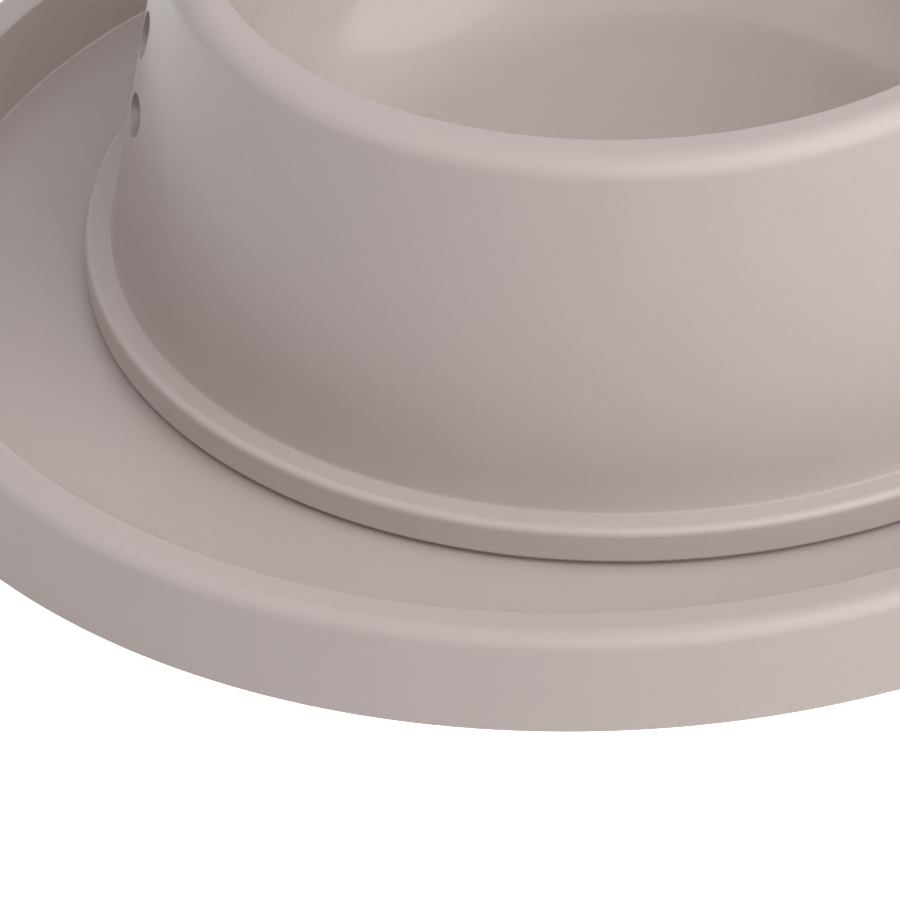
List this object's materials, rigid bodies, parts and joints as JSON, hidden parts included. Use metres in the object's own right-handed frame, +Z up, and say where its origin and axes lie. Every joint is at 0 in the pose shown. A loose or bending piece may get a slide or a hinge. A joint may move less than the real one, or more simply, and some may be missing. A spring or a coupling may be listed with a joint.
{
  "type": "double dog bowl",
  "caption": "Double feeding bowl: round skirted bowls with broad rounded rims standing in a shared tray with rounded ends and a raised rim.",
  "frame": {"origin": "centre of the tray's base, on the surface it stands on", "axes": "+X along the tray, from the left bowl to the right bowl; +Y across the tray, away from the front; +Z up"},
  "size_m": [0.4792, 0.2606, 0.0689],
  "materials": {
    "tray_plastic": "warm grey moulded plastic with a fine matte texture",
    "bowl_plastic": "warm grey moulded plastic, matte outside and polished in the dish"
  },
  "bodies": {
    "root": {"tray": "tray_plastic", "left_bowl": "bowl_plastic", "right_bowl": "bowl_plastic"}
  },
  "joints": []
}
